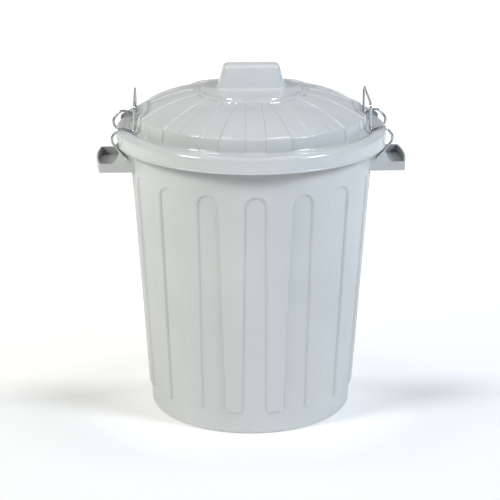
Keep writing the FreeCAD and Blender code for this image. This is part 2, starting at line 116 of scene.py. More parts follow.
def smoothSkin(piece, sharpAngle=sharpEdge):
    piece.data.polygons.foreach_set("use_smooth", [True] * len(piece.data.polygons))
    piece.data.set_sharp_from_angle(angle=math.radians(sharpAngle))


def meshPiece(name, points, faces, sharpAngle=sharpEdge):
    mesh = bpy.data.meshes.new(name)
    mesh.from_pydata((np.asarray(points) * mm).tolist(), [], faces)
    work = bmesh.new()
    work.from_mesh(mesh)
    bmesh.ops.remove_doubles(work, verts=work.verts, dist=tiny)
    bmesh.ops.recalc_face_normals(work, faces=work.faces)
    work.to_mesh(mesh)
    work.free()
    piece = bpy.data.objects.new(name, mesh)
    bpy.context.scene.collection.objects.link(piece)
    smoothSkin(piece, sharpAngle)
    return piece


def closedSkin(name, rings, startCentre, endCentre, sharpAngle=sharpEdge):
    # one skin over rows of points, closed by a fan at each end
    rings = np.array(rings)
    rows, columns = rings.shape[:2]
    pairs = [(j, (j + 1) % columns) for j in range(columns)]
    faces = []
    for i in range(rows - 1):
        a, b = i * columns, (i + 1) * columns
        faces += [(a + j, a + k, b + k, b + j) for j, k in pairs]
    first, last, lastRow = rows * columns, rows * columns + 1, (rows - 1) * columns
    faces += [(first, k, j) for j, k in pairs]
    faces += [(last, lastRow + j, lastRow + k) for j, k in pairs]
    points = np.vstack([rings.reshape(-1, 3), [startCentre, endCentre]])
    return meshPiece(name, points, faces, sharpAngle)


def loftedBlock(name, lowEnd, highEnd):
    # a closed block between two outlines with as many points each
    count = len(lowEnd)
    faces = [tuple(range(count)), tuple(range(2 * count - 1, count - 1, -1))]
    faces += [(k, (k + 1) % count, count + (k + 1) % count, count + k) for k in range(count)]
    return meshPiece(name, np.vstack([lowEnd, highEnd]), faces)


def prism(name, outline, low, high, axis="z"):
    # a block of one outline, run from low to high along z or y
    flat = np.asarray(outline, float)

    def end(level):
        along = np.full(len(flat), float(level))
        if axis == "y":
            return np.stack([flat[:, 0], along, flat[:, 1]], 1)
        return np.stack([flat[:, 0], flat[:, 1], along], 1)

    return loftedBlock(name, end(low), end(high))


def bakeModifiers(piece):
    # turns the modified shape into the piece's own mesh
    graph = bpy.context.evaluated_depsgraph_get()
    made = bpy.data.meshes.new_from_object(piece.evaluated_get(graph))
    old = piece.data
    piece.modifiers.clear()
    piece.data = made
    made.name = piece.name
    bpy.data.meshes.remove(old)


def combine(piece, tool, operation):
    cut = piece.modifiers.new("combine", "BOOLEAN")
    cut.operation, cut.solver, cut.object = operation, "EXACT", tool
    bakeModifiers(piece)
    bpy.data.objects.remove(tool)


def finishPiece(piece, body, slotName, material, *nodes):
    piece.data.materials.clear()
    piece.data.materials.append(material)
    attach(piece, body)
    if nodes:
        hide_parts(*nodes)
    return piece


# moulded plastic with painted shade in its creases, and plated wire

mixSockets = {"share": 0, "first": 6, "second": 7, "result": 2}    # the mix node's colour sockets


def grey(value):
    return (value,) * 3


def node(tree, kind, **values):
    made = tree.nodes.new(kind)
    for key, value in values.items():
        if key in made.inputs:
            made.inputs[key].default_value = value
        else:
            setattr(made, key, value)
    return made


def newMaterial(name):
    material = bpy.data.materials.new(name)
    material.use_nodes = True
    tree = material.node_tree
    place = node(tree, "ShaderNodeTexCoord").outputs["Object"]
    return material, tree, tree.nodes["Principled BSDF"], place


def noiseOver(tree, place, **values):
    noise = node(tree, "ShaderNodeTexNoise", **values)
    tree.links.new(place, noise.inputs["Vector"])
    return noise.outputs["Fac"]


def rampOver(tree, source, places, colours):
    ramp = tree.nodes.new("ShaderNodeValToRGB")
    stops = ramp.color_ramp.elements
    stops[0].position, stops[0].color = places[0], (*colours[0], 1)
    stops[1].position, stops[1].color = places[-1], (*colours[-1], 1)
    for place, colour in zip(places[1:-1], colours[1:-1]):
        stops.new(place).color = (*colour, 1)
    tree.links.new(source, ramp.inputs["Fac"])
    return ramp.outputs["Color"]


def mixed(tree, blend, first, second):
    mix = node(tree, "ShaderNodeMix", data_type="RGBA", blend_type=blend)
    mix.inputs[mixSockets["share"]].default_value = 1.0
    tree.links.new(first, mix.inputs[mixSockets["first"]])
    tree.links.new(second, mix.inputs[mixSockets["second"]])
    return mix.outputs[mixSockets["result"]]


def glossOver(tree, shader, source, look):
    gloss = node(tree, "ShaderNodeMapRange", clamp=True)
    gloss.inputs["From Min"].default_value, gloss.inputs["From Max"].default_value = look["glossAt"]
    gloss.inputs["To Min"].default_value, gloss.inputs["To Max"].default_value = look["rough"]
    tree.links.new(source, gloss.inputs["Value"])
    tree.links.new(gloss.outputs["Result"], shader.inputs["Roughness"])


def bumpOver(tree, height, strength, depth):
    bump = node(tree, "ShaderNodeBump", Strength=strength, Distance=depth)
    tree.links.new(height, bump.inputs["Height"])
    return bump


def mouldedPlastic(name, look):
    material, tree, shader, place = newMaterial(name)
    link = tree.links.new
    clouds = noiseOver(tree, place, Scale=look["cloudScale"], Detail=3.0, Roughness=0.55)
    tint = rampOver(tree, clouds, look["tintAt"], (look["dark"], look["middle"], look["light"]))
    specks = noiseOver(tree, place, Scale=look["speckScale"], Detail=2.0, Roughness=0.7)
    speckTint = rampOver(tree, specks, look["speckAt"], (grey(look["speck"]), grey(1.0)))
    toned = mixed(tree, "MULTIPLY", tint, speckTint)
    # painted shade: ambient occlusion darkens the base colour in creases, under the rim and inside the trays
    # and recesses
    shadeOcclusion = node(tree, "ShaderNodeAmbientOcclusion", samples=look["paintedShadeSamples"], only_local=True,
                  Distance=look["paintedShadeReach"])
    paintedShade = rampOver(tree, shadeOcclusion.outputs["AO"], look["paintedShadeAt"], (grey(look["paintedShade"]), grey(1.0)))
    link(mixed(tree, "MULTIPLY", toned, paintedShade), shader.inputs["Base Color"])
    stretch = node(tree, "ShaderNodeMapping", Scale=(1.0, 1.0, look["smearStretch"]))
    link(place, stretch.inputs["Vector"])
    smears = noiseOver(tree, stretch.outputs["Vector"], Scale=look["smearScale"], Detail=4.0, Roughness=0.6)
    glossOver(tree, shader, smears, look)
    grain = noiseOver(tree, place, Scale=look["grainScale"], Detail=2.0, Roughness=0.5)
    waves = noiseOver(tree, place, Scale=look["waveScale"], Detail=1.0)
    fine = bumpOver(tree, grain, look["grainStrength"], look["grainDepth"])
    broad = bumpOver(tree, waves, look["waveStrength"], look["waveDepth"])
    link(broad.outputs["Normal"], fine.inputs["Normal"])
    link(fine.outputs["Normal"], shader.inputs["Normal"])
    shader.inputs["IOR"].default_value = look["ior"]
    return material


def platedWire(name, look):
    material, tree, shader, place = newMaterial(name)
    patches = noiseOver(tree, place, Scale=look["patchScale"], Detail=4.0, Roughness=0.6)
    tint = rampOver(tree, patches, look["tintAt"], (look["dull"], look["middle"], look["bright"]))
    tree.links.new(tint, shader.inputs["Base Color"])
    glossOver(tree, shader, patches, look)
    marks = noiseOver(tree, place, Scale=look["markScale"], Detail=3.0)
    bump = bumpOver(tree, marks, look["markStrength"], look["markDepth"])
    tree.links.new(bump.outputs["Normal"], shader.inputs["Normal"])
    shader.inputs["Metallic"].default_value = look["metal"]
    return material


plasticLook = {      # what all the plastics share: where the ramps' stops lie, the gloss, and the samples of the painted shade
    "tintAt": (0.30, 0.52, 0.74), "speckAt": (0.25, 0.55), "glossAt": (0.3, 0.7), "ior": 1.49,
    "paintedShadeSamples": 12,
}
binLook = {
    **plasticLook,
    "dark": (0.560, 0.572, 0.570), "middle": (0.585, 0.597, 0.596), "light": (0.605, 0.616, 0.614),
    "cloudScale": 7.0, "speckScale": 900.0, "speck": 0.975,
    "rough": (0.40, 0.50), "smearScale": 16.0, "smearStretch": 0.25,
    "grainScale": 800.0, "grainStrength": 0.06, "grainDepth": 0.0002,
    "waveScale": 14.0, "waveStrength": 0.03, "waveDepth": 0.002,
    "paintedShadeReach": 0.042, "paintedShade": 0.42, "paintedShadeAt": (0.32, 0.93),     # painted shade: the base colour is darkened where the skin is closed in
}
lidLook = {
    **plasticLook,
    "dark": (0.566, 0.584, 0.585), "middle": (0.592, 0.609, 0.610), "light": (0.613, 0.630, 0.631),
    "cloudScale": 8.0, "speckScale": 950.0, "speck": 0.98,
    "rough": (0.07, 0.11), "smearScale": 14.0, "smearStretch": 1.0,
    "grainScale": 700.0, "grainStrength": 0.02, "grainDepth": 0.0002,
    "waveScale": 14.0, "waveStrength": 0.01, "waveDepth": 0.002,
    # painted shade in the lid's creases and recesses
    "paintedShadeReach": 0.015, "paintedShade": 0.50, "paintedShadeAt": (0.30, 0.85),
}
knobPaintedLightLook = {         # the lid's plastic, slightly lighter: painted light, standing in for the extra light on the knob's faces
    **lidLook,
    "dark": (0.612, 0.632, 0.640), "middle": (0.638, 0.658, 0.668), "light": (0.658, 0.678, 0.688),
}
wireLook = {
    "dull": (0.46, 0.48, 0.49), "middle": (0.57, 0.59, 0.60), "bright": (0.67, 0.69, 0.70),
    "tintAt": (0.32, 0.55, 0.75), "patchScale": 140.0,
    "glossAt": (0.3, 0.7), "rough": (0.14, 0.24), "metal": 0.82,
    "markScale": 900.0, "markStrength": 0.15, "markDepth": 0.0003,
}
binPlastic = mouldedPlastic("binPlastic", binLook)
lidPlastic = mouldedPlastic("lidPlastic", lidLook)
knobPaintedLightPlastic = mouldedPlastic("knobPaintedLightPlastic", knobPaintedLightLook)
zincWire = platedWire("zincWire", wireLook)
print("materials made: bin plastic, lid plastic, knob plastic, zinc wire")


# bin body: tapered wall with flutes under round arches, plain foot band and a turned-down rim

binSize = {
    "baseRadius": 166.1, "neckRadius": 198.0, "wall": 2.1, "floor": 3.0, "footRound": 8.5,
    "bandHeight": 37.0, "bandSoft": 3.0, "fluteCount": 16, "fluteLow": 39.0, "fluteHigh": 32.6,
    "fluteDepth": 3.4, "ribRound": 5.0, "creaseSoft": 0.5, "archDrop": 66.3,
    "rimLip": 17.0, "rimRound": 4.4, "underRound": 5.0, "lipRound": 0.9, "mouthRound": 1.6,
    "edgeMargin": (1.6, 5.4),        # how far the columns reach from a flute's edge, inward and outward
    "columnParts": (8, 9, 3),        # steps up to a flute's edge, over it and on to the rib's middle
    "columnInset": 12.0,             # columns keep their angles inside this distance from the base's edge
    "footRows": (1.0, 5.0, 5),       # gap to the foot's rounding, gap to the band's top, rows
    "bandRows": (3.0, 8.0, 0.8),     # start below the band's top, end above it, step
    "wallRows": (12.0, 6.0, 14),     # gap to the band's top, gap to the arches, rows
    "archRows": (3.0, 7.0, 0.9),     # start below the arches, end above them, step
    "neckRows": (10.0, 18.0), "rimStart": 24.0,      # above the arches
    "footTop": 24.0, "insideFrom": 21.0, "floorTop": 20.0, "hub": 20.0, "turnStep": 15.0,
    "insideEvery": 3,                # of the wall's rows, for the inside
}


def fluteColumns(size, edge, radius):
    # angles of the columns, which follow the flutes' edges, and each one's angle from its flute's middle
    count, (inward, outward) = size["fluteCount"], size["edgeMargin"]
    half = math.pi / count
    stops = (0.0, (edge - inward) / radius, (edge + outward) / radius, half)
    right = [0.0]
    for a, b, steps in zip(stops[:-1], stops[1:], size["columnParts"]):
        right += [a + (b - a) * (k + 1) / steps for k in range(steps)]
    local = np.array([-a for a in right[:0:-1]] + right[:-1])
    turns = np.concatenate([local + 2 * half * k - math.pi / 2 for k in range(count)])
    return turns, np.tile(local, count)


def makeBin(size):
    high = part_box("bin_body")[1]
    height, rimRadius = high.z / mm, high.y / mm
    lean = (size["neckRadius"] - size["baseRadius"]) / height
    band, wall, depth = size["bandHeight"], size["wall"], size["fluteDepth"]
    archTop = height - size["archDrop"]
    archCentre = archTop - size["fluteHigh"] / 2
    rings = []

    def wallRadius(z):
        return size["baseRadius"] + lean * z

    def halfAt(z):
        share = min(1.0, max(0.0, (z - band) / (archCentre - band)))
        return between((size["fluteLow"], size["fluteHigh"]), share) / 2

    def columnsAt(radius, z):
        return fluteColumns(size, halfAt(z), max(radius, size["baseRadius"] - size["columnInset"]))

    def fluteSink(z, radius):
        # a rib's shoulder is round and its foot is a crease
        across = np.sin(columnsAt(radius, z)[1]) * radius
        up = max(0.0, z - archCentre)
        inside = halfAt(z) - np.sqrt(across ** 2 + up ** 2)
        inBand = np.full_like(inside, band - z)
        inside = -softMin(-inside, -inBand, size["bandSoft"])
        share = np.maximum(inside / size["ribRound"] + 1.0, 0.0)
        return softMin(depth * share ** 2, depth, size["creaseSoft"])

    def ring(radius, z, sink=0.0):
        turn = columnsAt(radius, z)[0]
        radius = radius - sink + np.zeros_like(turn)
        rings.append(np.stack([radius * np.cos(turn), radius * np.sin(turn), np.full(turn.shape, z)], 1))

    gapLow, gapHigh, rows = size["footRows"]
    zRows = list(np.linspace(size["footRound"] + gapLow, band - gapHigh, rows))
    below, above, step = size["bandRows"]
    zRows += list(np.arange(band - below, band + above, step))
    gapLow, gapHigh, rows = size["wallRows"]
    zRows += list(np.linspace(band + gapLow, archCentre - gapHigh, rows))
    below, above, step = size["archRows"]
    zRows += list(np.arange(archCentre - below, archTop + above, step))
    zRows += [archTop + rise for rise in size["neckRows"]]

    flangeUnder = height - wall
    neck, lipInside, lipEnd = wallRadius(flangeUnder), rimRadius - wall, height - size["rimLip"]
    rimStart = archTop + size["rimStart"]
    foot = roundedPath([
        (size["hub"], 0, 0), (wallRadius(0) - depth, 0, size["footRound"]),
        (wallRadius(size["footTop"]) - depth, size["footTop"], 0)])[:-1]
    rim = roundedPath([
        (wallRadius(rimStart), rimStart, 0), (neck, flangeUnder, size["underRound"]),
        (lipInside, flangeUnder, size["underRound"]), (lipInside, lipEnd, size["lipRound"]),
        (rimRadius, lipEnd, size["lipRound"]), (rimRadius, height, size["rimRound"]),
        (neck - wall, height, size["mouthRound"]), (wallRadius(rimStart) - wall, rimStart, 0)],
        size["turnStep"])
    inset = wall + depth
    floor = roundedPath([
        (wallRadius(size["floorTop"]) - inset, size["floorTop"], 0),
        (wallRadius(size["floor"]) - inset, size["floor"], size["footRound"] - wall),
        (size["hub"], size["floor"], 0)], size["turnStep"])[1:]
    for radius, z in foot:
        ring(radius, z)
    for z in zRows:
        ring(wallRadius(z), z, fluteSink(z, wallRadius(z)))
    for radius, z in rim:
        ring(radius, z)
    for z in zRows[::-size["insideEvery"]]:
        if z > size["insideFrom"]:
            ring(wallRadius(z) - wall, z, fluteSink(z, wallRadius(z)))
    for radius, z in floor:
        ring(radius, z)
    piece = closedSkin("bin_shell", rings, (0, 0, 0), (0, 0, size["floor"]))
    return finishPiece(piece, "bin", "bin_plastic", binPlastic, "bin_body")


binShell = makeBin(binSize)
print("bin shell made:", len(binShell.data.polygons), "faces")


# lid: soft-edged flutes on a low dome, a gutter, a rolled edge with a bead, notches and finger recesses

lidSize = {
    "wall": 2.1, "hub": 12.0, "domeTop": 529.0, "crown": 6.3,
    "discRadius": 79.0, "discStep": 3.0, "discRound": 0.9, "discDraft": 1.5, "discFoot": 0.8,
    "shoulderRadius": 184.2, "shoulderHeight": 495.0, "shoulderRound": 4.5,
    "footRadius": 186.7, "footRound": 7.0, "footSteps": 10, "gutterHeight": 469.9,
    "rollInner": 197.4, "flatHeight": 471.4, "rollFoot": 200.6, "rollStart": 204.2, "rollHeight": 476.0,
    "flatRounds": (1.0, 1.2, 2.5), "rollRound": 8.0, "edgeHeight": 449.2, "edgeShare": 0.6,
    "bead": 0.8, "beadRows": ((2.8, 0.8), (1.9, 0.7), (0.0, 0.9)),      # height over the edge, rounding
    "underDisc": ((1.8, 1.5), (1.0, 2.0)),                              # inset inside, rounding
    "underShoulder": (2.0, 2.2, 5.0),                                   # inset inside, drop, rounding
    "plugRadius": 195.3, "seatHeight": 469.3, "seatRound": 0.4, "rimRound": 4.4,
    "fluteCount": 16, "fluteDepth": 1.6, "fluteEdge": 2.6, "fluteStart": 89.5,
    "fluteInner": 24.0, "fluteOuter": 32.5, "fluteCorner": 6.0, "fluteEnd": 1.2,
    "fluteLead": 8.0, "fluteSag": 3.0,         # how far the flutes may begin early and run into the gutter
    "fluteEndEdge": 1.2, "crispRun": (3.0, 9.0),       # steeper edges at the inner end, and their fade
    "edgeMargin": (2.2, 2.2), "columnParts": (8, 8, 3),
    "endRows": (3.0, 5.0, 0.5),                # start before the flutes' ends, end after them, step
    "domeRows": (9.0, 6.0, 15),                # gap to the flutes' ends, gap to the shoulder, rows
    "insideEvery": 5, "outsideTurn": 12.0, "insideTurn": 18.0, "outsideRun": 13.0, "insideRun": 24.0,
    "notchHalf": 62.0, "notchInner": 200.0, "notchOuter": 240.0, "notchSpan": (440.0, 480.0),
    "notchSteps": 25,
    "recessHalf": 37.0, "recessInner": 166.2, "recessCorner": 14.0, "recessTurn": 6.0, "recessWall": 2.1,
    "linerSpan": (460.0, 540.0), "roomOut": 10.0, "roomTop": 545.0,
    "recessLap": 0.08, "openingEnd": 0.2, "openingRise": 0.02, "openingTop": 540.0,
    "coreSink": 0.12, "coreDrop": 2.0, "coreHub": 20.0, "coreFloor": 2.2, "coreReach": 0.01,
}


def lidRings(size, profile):
    # each row of the skin follows the outline, sunk along its normal where a flute runs
    ahead = np.gradient(profile, axis=0)
    ahead /= np.linalg.norm(ahead, axis=1)[:, None]
    normals = np.stack([-ahead[:, 1], ahead[:, 0]], 1)      # points up and out along this outline
    start, footRadius, gutter = size["fluteStart"], size["footRadius"], size["gutterHeight"]
    crispStart, crispFade = size["crispRun"]
    rings = []
    for (radius, z), (outward, upward) in zip(profile, normals):
        fluted = min(max(radius, start), footRadius)
        share = (fluted - start) / (footRadius - start)
        half = between((size["fluteInner"], size["fluteOuter"]), share) / 2
        turn, local = fluteColumns(size, half, fluted)
        depth = np.zeros_like(turn)
        inReach = start - size["fluteLead"] < radius < footRadius + size["footRound"]
        if inReach and z > gutter - size["fluteSag"]:
            across = np.abs(np.sin(local) * radius)
            ends = np.full_like(across, (radius - start) * size["fluteEnd"])
            inside = softMin(half - across, ends, size["fluteCorner"])
            crisp = 1 - smoothStep((radius - start - crispStart) / crispFade)
            edge = between((size["fluteEdge"], size["fluteEndEdge"]), crisp)
            depth = size["fluteDepth"] * smoothStep(inside / edge + 0.5)
            depth *= smoothStep((z - gutter) / size["footRound"])      # runs out in the gutter
        r, h = radius - depth * outward, z - depth * upward
        rings.append(np.stack([r * np.cos(turn), r * np.sin(turn), h], 1))
    return rings


def recessOutline(size, grown, outer, side):
    inner, half = size["recessInner"] - grown, size["recessHalf"] + grown
    corner = size["recessCorner"] + grown
    corners = [(outer, -half, 0), (inner, -half, corner), (inner, half, corner), (outer, half, 0)]
    return roundedPath(corners, size["recessTurn"]) * np.array([side, 1.0])


def notchOutline(size, side):
    inner, half, outer = size["notchInner"], size["notchHalf"], size["notchOuter"]
    reach = math.asin(half / inner)
    arc = [(inner * math.cos(a), inner * math.sin(a)) for a in np.linspace(reach, -reach, size["notchSteps"])]
    return np.array(arc + [(outer, -half), (outer, half)]) * np.array([side, 1.0])


def makeLid(size):
    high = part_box("lid")[1]
    skirt, wall, edge, gutter = high.y / mm, size["wall"], size["edgeHeight"], size["gutterHeight"]
    disc, domeTop, flat = size["discRadius"], size["domeTop"], size["flatHeight"]
    shoulder, shoulderHeight = size["shoulderRadius"], size["shoulderHeight"]
    top, beaded, skirtInside = domeTop + size["discStep"], skirt + size["bead"], skirt - wall
    gutterEnd = size["footRadius"] + size["footRound"]
    before, after, step = size["endRows"]
    domeRows = list(np.arange(size["fluteStart"] - before, size["fluteStart"] + after, step))
    gapIn, gapOut, rows = size["domeRows"]
    domeRows += list(np.linspace(size["fluteStart"] + gapIn, shoulder - gapOut, rows))

    def onDome(drop, every=1):
        made = []
        for r in domeRows[::every]:
            share = (r - disc) / (shoulder - disc)
            straight = between((domeTop, shoulderHeight), share)
            made.append((r, straight + size["crown"] * 4 * share * (1 - share) - drop, 0))
        return made

    def foot(thick):
        # the hollow rounding where the dome's side runs out into the gutter
        reach, middle = size["footRound"] + thick, gutter + size["footRound"]
        turns = np.linspace(0, math.pi / 2, size["footSteps"])
        return [(gutterEnd - reach * math.cos(a), middle - reach * math.sin(a), 0) for a in turns]

    flatRounds, beadRows, edgeMiddle = size["flatRounds"], size["beadRows"], skirt - wall * size["edgeShare"]
    outside = roundedPath([
        (size["hub"], top, 0), (disc, top, size["discRound"]),
        (disc + size["discDraft"], domeTop, size["discFoot"]),
        *onDome(0), (shoulder, shoulderHeight, size["shoulderRound"]), *foot(0.0),
        (size["rollInner"], flat, flatRounds[0]), (size["rollFoot"], flat, flatRounds[1]),
        (size["rollStart"], size["rollHeight"], flatRounds[2]),
        (skirt, size["rollHeight"], size["rollRound"]), (skirt, edge + beadRows[0][0], beadRows[0][1]),
        *[(beaded, edge + rise, bend) for rise, bend in beadRows[1:]], (edgeMiddle, edge, 0)],
        size["outsideTurn"])
    (discInset, discBend), (stepInset, stepBend) = size["underDisc"]
    inset, drop, bend = size["underShoulder"]
    inside = roundedPath([
        (size["hub"], top - wall, 0), (disc - discInset, top - wall, discBend),
        (disc - stepInset, domeTop - wall, stepBend), *onDome(wall, size["insideEvery"]),
        (shoulder - inset, shoulderHeight - drop, bend), *foot(wall),
        (size["plugRadius"], size["seatHeight"], size["seatRound"]),
        (skirtInside, size["seatHeight"], size["rimRound"]),
        (skirtInside, edge, size["seatRound"]), (edgeMiddle, edge, 0)], size["insideTurn"])
    outside = spread(outside, size["outsideRun"])
    inside = spread(inside, size["insideRun"])
    rings = lidRings(size, outside) + lidRings(size, inside)[::-1][1:]
    lid = closedSkin("lid_shell", rings, (0, 0, top), (0, 0, top - wall))

    # the recesses' walls are cut from a solid dome that lies just under the lid's skin
    coreEnd = [(gutterEnd, gutter - size["coreDrop"]), (size["coreHub"], gutter - size["coreDrop"])]
    corePath = np.vstack([[p for p in outside if p[0] < gutterEnd + size["coreReach"]], coreEnd])
    coreRings = lidRings(size, corePath - np.array((0.0, size["coreSink"])))
    coreCentres = (0, 0, top - size["coreSink"]), (0, 0, gutter - size["coreFloor"])
    core = closedSkin("recess_core", coreRings, *coreCentres)
    liners = []
    for side, word in bothSides:
        liner = core.copy()
        liner.data = core.data.copy()
        liner.name = f"lid_recess_{word}"
        bpy.context.scene.collection.objects.link(liner)
        grown = recessOutline(size, size["recessWall"], gutterEnd, side)
        combine(liner, prism("grown", grown, *size["linerSpan"]), "INTERSECT")
        room = recessOutline(size, 0.0, gutterEnd + size["roomOut"], side)
        combine(liner, prism("room", room, gutter, size["roomTop"]), "DIFFERENCE")
        smoothSkin(liner)
        liners.append(liner)
        opening = recessOutline(size, size["recessLap"], gutterEnd - size["openingEnd"], side)
        opening = prism("opening", opening, gutter + size["openingRise"], size["openingTop"])
        combine(lid, opening, "DIFFERENCE")
        combine(lid, prism("notch", notchOutline(size, side), *size["notchSpan"]), "DIFFERENCE")
    bpy.data.objects.remove(core)
    smoothSkin(lid)
    finishPiece(lid, "lid", "lid_plastic", lidPlastic, "lid")
    for liner in liners:
        finishPiece(liner, "lid", "lid_plastic", lidPlastic)
    return lid


lidShell = makeLid(lidSize)
print("lid shell made:", len(lidShell.data.polygons), "faces")


# knob: a tapered block that flares into the disc

knobSize = {
    "long": (54.5, 44.5), "wide": (16.0, 14.0),      # half sizes at the foot and at the top
    "corner": (10.0, 9.0),                           # radii at the foot and at the top
    "height": 39.4, "topRound": 6.0, "flare": 4.5, "crown": 0.6, "lap": 0.3,
    "leastCorner": 1.0, "cornerGap": 0.5, "cornerSteps": 11,
    "flareSteps": 9, "bodyRows": 6, "roundFrom": 10, "roundSteps": 9, "crownRows": 6, "sharpAngle": 60.0,
}


def makeKnob(size):
    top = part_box("lid")[1].z / mm
    height, flare, topRound = size["height"], size["flare"], size["topRound"]
    bottom = top - height

    def section(share, grow, z):
        long, wide, corner = (between(size[key], share) + grow for key in ("long", "wide", "corner"))
        corner = max(size["leastCorner"], min(corner, wide - size["cornerGap"]))
        made = []
        for k, (sx, sy) in enumerate(((1, 1), (-1, 1), (-1, -1), (1, -1))):
            for a in np.linspace(0, 90, size["cornerSteps"]):
                t = math.radians(a + 90 * k)
                x = sx * (long - corner) + corner * math.cos(t)
                y = sy * (wide - corner) + corner * math.sin(t)
                made.append((x, y, z))
        return made

    rings = []
    for a in np.linspace(0, 90, size["flareSteps"]):      # hollow flare at the foot
        t = math.radians(a)
        z = bottom + flare * (1 - math.cos(t)) - size["lap"]
        rings.append(section(0.0, flare * (1 - math.sin(t)), z))
    body = height - topRound
    for k in range(1, size["bodyRows"] + 1):
        z = flare + (body - flare) * k / size["bodyRows"]
        rings.append(section(z / height, 0.0, bottom + z))
    for a in np.linspace(size["roundFrom"], 90, size["roundSteps"]):      # rounded top edge
        t = math.radians(a)
        z = body + topRound * math.sin(t)
        rings.append(section(z / height, -topRound * (1 - math.cos(t)), bottom + z))
    for k in range(1, size["crownRows"]):                 # slightly crowned top
        f = 1 - k / size["crownRows"]
        ring = np.array(section(1.0, -topRound, top)) * np.array((f, f, 1.0))
        rings.append(ring + np.array((0, 0, size["crown"] * (1 - f * f))))
    centres = (0, 0, bottom - size["lap"]), (0, 0, top + size["crown"])
    knob = closedSkin("lid_knob", rings, *centres, size["sharpAngle"])
    # the knob gets the lighter copy of the lid's plastic: painted light
    return finishPiece(knob, "lid", "lid_plastic", knobPaintedLightPlastic)


lidKnob = makeKnob(knobSize)
print("knob made:", len(lidKnob.data.polygons), "faces")


# handles: shallow trays on two webs that climb to the rim

handleSize = {
    "wall": 2.6, "floorHeight": 406.0, "trayTop": 421.5, "outerRadius": 249.0, "half": 53.5,
    "cornerRound": 5.0, "leastCorner": 1.2, "lowRound": 4.5, "lowSteps": 5, "arcSteps": 15, "turnStep": 15.0,
    "edgeRound": 1.15, "edgeSteps": 3, "edgeAngle": 50.0, "sharpAngle": 40.0,
    "trayInner": 150.0, "roomInner": 140.0, "roomTop": 470.0,      # hidden ends, cut off by the bin's wall
    "web": ((222.0, 421.5, 3.0), (215.6, 429.0, 5.0), (211.0, 442.0, 4.0), (211.0, 451.4, 0.0),
            (202.4, 451.4, 0.0), (202.4, 466.9, 0.0)),
    "webOuter": 244.0, "webInner": 180.0, "webTop": 466.9, "webLow": 1.0,
    "binHeight": 469.0, "wallLap": 0.6, "wallSpan": (380.0, 480.0), "wallSides": 192,
}


def trayOutline(size, inset, inner):
    radius, half = size["outerRadius"] - inset, size["half"] - inset
    reach = math.asin(half / radius)
    turns = np.linspace(-reach, reach, size["arcSteps"])
    arc = [(radius * math.cos(a), radius * math.sin(a), 0.0) for a in turns]
    corner = max(size["leastCorner"], size["cornerRound"] - inset)
    arc[0], arc[-1] = (*arc[0][:2], corner), (*arc[-1][:2], corner)
    return roundedPath([(inner, -half, 0), *arc, (inner, half, 0)], size["turnStep"])


def roundLowEdges(tray, size):
    def isLow(v):
        return abs(tray.data.vertices[v].co.z - size["floorHeight"] * mm) < tiny

    weights = tray.data.attributes.new("bevel_weight_edge", "FLOAT", "EDGE")
    for e in tray.data.edges:
        if all(isLow(v) for v in e.vertices):
            weights.data[e.index].value = 1.0
    rounding = tray.modifiers.new("lowRound", "BEVEL")
    rounding.limit_method = "WEIGHT"
    rounding.width, rounding.segments = size["lowRound"] * mm, size["lowSteps"]
    bakeModifiers(tray)


def softenEdges(tray, size):
    soft = tray.modifiers.new("edges", "BEVEL")
    soft.limit_method, soft.angle_limit = "ANGLE", math.radians(size["edgeAngle"])
    soft.width, soft.segments, soft.use_clamp_overlap = size["edgeRound"] * mm, size["edgeSteps"], True
    bakeModifiers(tray)


def wallSpace(size):
    # the room that the bin's wall takes up, slightly too small so that the handle laps into it
    def end(z):
        lean = (binSize["neckRadius"] - binSize["baseRadius"]) * z / size["binHeight"]
        radius = binSize["baseRadius"] + lean - size["wallLap"]
        turns = np.linspace(0, 2 * math.pi, size["wallSides"], endpoint=False)
        return [(radius * math.cos(a), radius * math.sin(a), z) for a in turns]

    low, high = size["wallSpan"]
    return loftedBlock("wallSpace", end(low), end(high))


def makeHandle(size, side, word):
    floor, top, wall = size["floorHeight"], size["trayTop"], size["wall"]
    tray = prism("tray", trayOutline(size, 0.0, size["trayInner"]), floor, top)
    roundLowEdges(tray, size)
    room = prism("inside", trayOutline(size, wall, size["roomInner"]), floor + wall, size["roomTop"])
    combine(tray, room, "DIFFERENCE")
    outer, inner, low = size["webOuter"], size["webInner"], floor + size["webLow"]
    climb = roundedPath([(outer, top, 0), *size["web"], (inner, size["webTop"], 0)], size["turnStep"])
    web = np.vstack([climb, [(inner, low), (outer, low)]])
    for y in (-size["half"], size["half"] - wall):
        combine(tray, prism("web", web, y, y + wall, "y"), "UNION")
    combine(tray, wallSpace(size), "DIFFERENCE")
    softenEdges(tray, size)
    if side < 0:
        tray.data.transform(Matrix.Rotation(math.pi, 4, "Z"))
    tray.name = f"handle_tray_{word}"
    smoothSkin(tray, size["sharpAngle"])
    return finishPiece(tray, "bin", "bin_plastic", binPlastic, f"handle_{word}")


handles = [makeHandle(handleSize, side, word) for side, word in bothSides]
print("handles made:", [len(h.data.polygons) for h in handles], "faces")


# spring clips: one bent wire each, with round ends

clipSize = {
    "wire": 4.4, "armY": 57.0, "endY": 47.0, "round": {"end": 3.0, "arm": 12.0, "heel": 4.6, "grip": 7.7},
    "pivot": (199.3, 430.0), "elbow": (226.0, 462.0), "crest": (209.5, 482.5),
    "heel": (186.4, 473.8), "legTop": (186.4, 518.8),
    "sides": 20, "bendStep": 9.0, "leastBends": 3, "longestRun": 6.0, "sharpAngle": 70.0,
    "endDome": 0.55, "domeAngles": (25, 50, 75),     # how far the ends bulge, in wire radii
}


